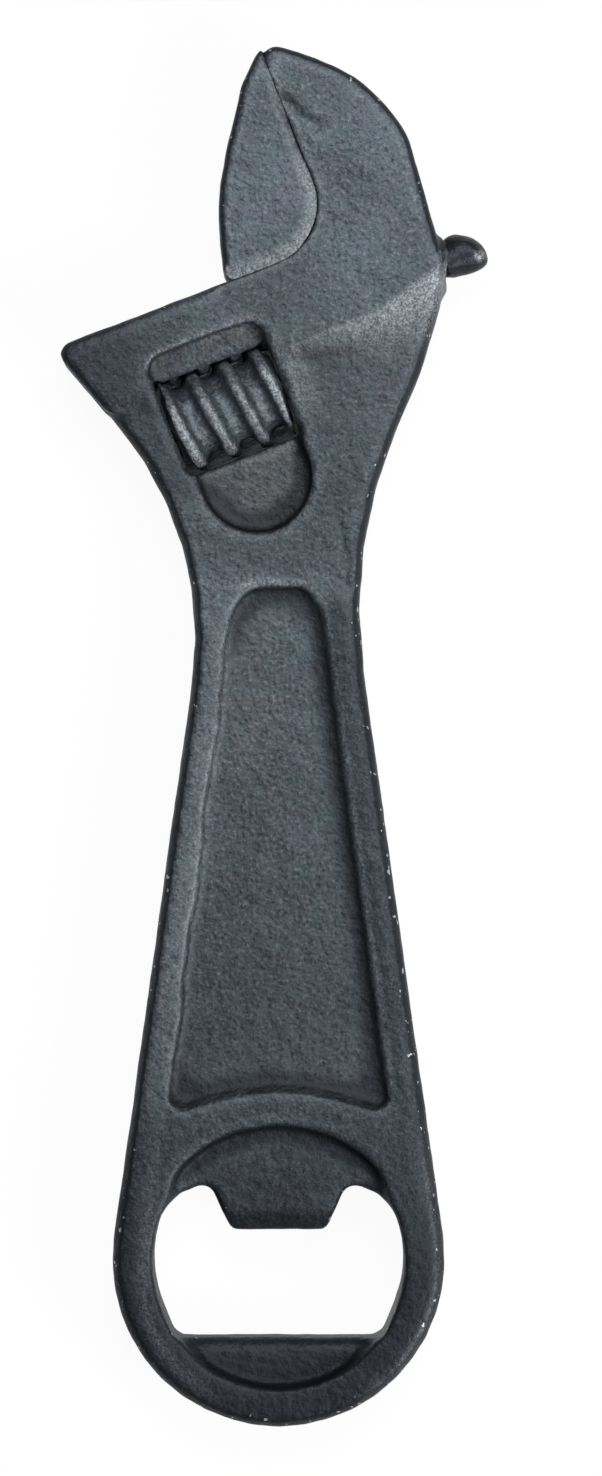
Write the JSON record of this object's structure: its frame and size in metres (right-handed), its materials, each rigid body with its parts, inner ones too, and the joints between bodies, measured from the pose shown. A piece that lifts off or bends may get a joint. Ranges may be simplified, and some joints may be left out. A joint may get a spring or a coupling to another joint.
{
  "type": "wrench bottle opener",
  "caption": "Cast-iron adjustable wrench with a sliding jaw driven by a thumb worm; its handle ends in a round bottle opener with a lifting tooth.",
  "frame": {"origin": "centre of the closed wrench's bounding box, on the plane of the head's back face", "axes": "+Y along the handle from the opener ring to the jaws, +X to the fixed jaw's side, +Z out of the front face that carries the thumb recess"},
  "size_m": [0.0558, 0.18, 0.0136],
  "materials": {
    "iron": "dark blue-grey sand-cast skin, slightly worn on the edges",
    "jaw_iron": "dark blue-grey sand-cast skin, slightly worn on the edges",
    "worm_iron": "dark blue-grey with bright worn thread crests",
    "steel": "plain turned steel",
    "spring_steel": "bright drawn wire"
  },
  "bodies": {
    "frame": {"body": "iron", "worm_pin": "steel"},
    "jaw": {"sliding_jaw": "jaw_iron"},
    "thumb_worm": {"worm": "worm_iron", "worm_spring": "spring_steel"}
  },
  "joints": [
    {"name": "worm_spin", "type": "hinge", "parent": "frame", "child": "thumb_worm", "pos_m": [-0.00634, 0.0431, 0.0068], "axis": [0.9336, 0.3584, 0], "range_deg": [0, 1640]},
    {"name": "jaw_slide", "type": "slide", "parent": "frame", "child": "jaw", "axis": [-0.9336, -0.3584, 0], "range_m": [0, 0.02]}
  ],
  "couplings": [
    {"joint": "worm_spin", "follows": "jaw_slide", "rad_per_m": 1428}
  ]
}
